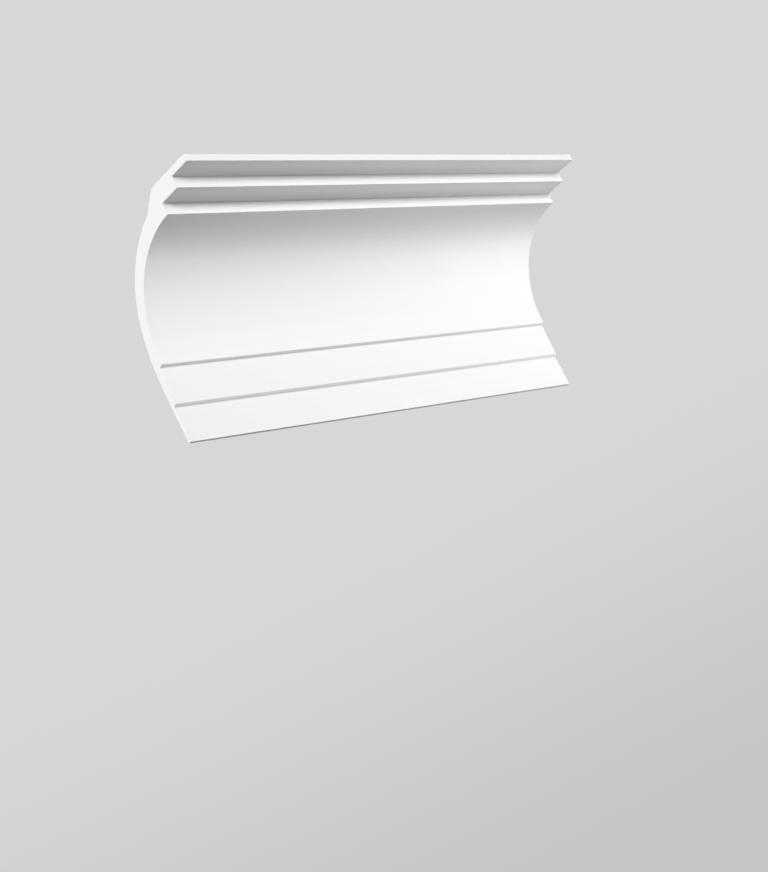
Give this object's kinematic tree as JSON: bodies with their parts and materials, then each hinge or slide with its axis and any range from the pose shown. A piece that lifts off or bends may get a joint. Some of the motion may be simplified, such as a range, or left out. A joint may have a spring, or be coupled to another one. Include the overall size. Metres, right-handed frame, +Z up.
{
  "type": "cornice moulding length",
  "caption": "Length of white ceiling cornice with a stepped top, a deep cove and plain stepped bands at its foot, cut square at both ends and fixed in the angle of wall and ceiling.",
  "frame": {"origin": "middle of the flat strip at the back of the foot that bears on the wall", "axes": "+X along the moulding, +Y to the wall, +Z up to the ceiling"},
  "size_m": [0.42, 0.1073, 0.1515],
  "materials": {
    "primed_face": "smooth matt white primer over hard polymer foam"
  },
  "bodies": {
    "root": {"cornice_length": "primed_face"}
  },
  "joints": []
}
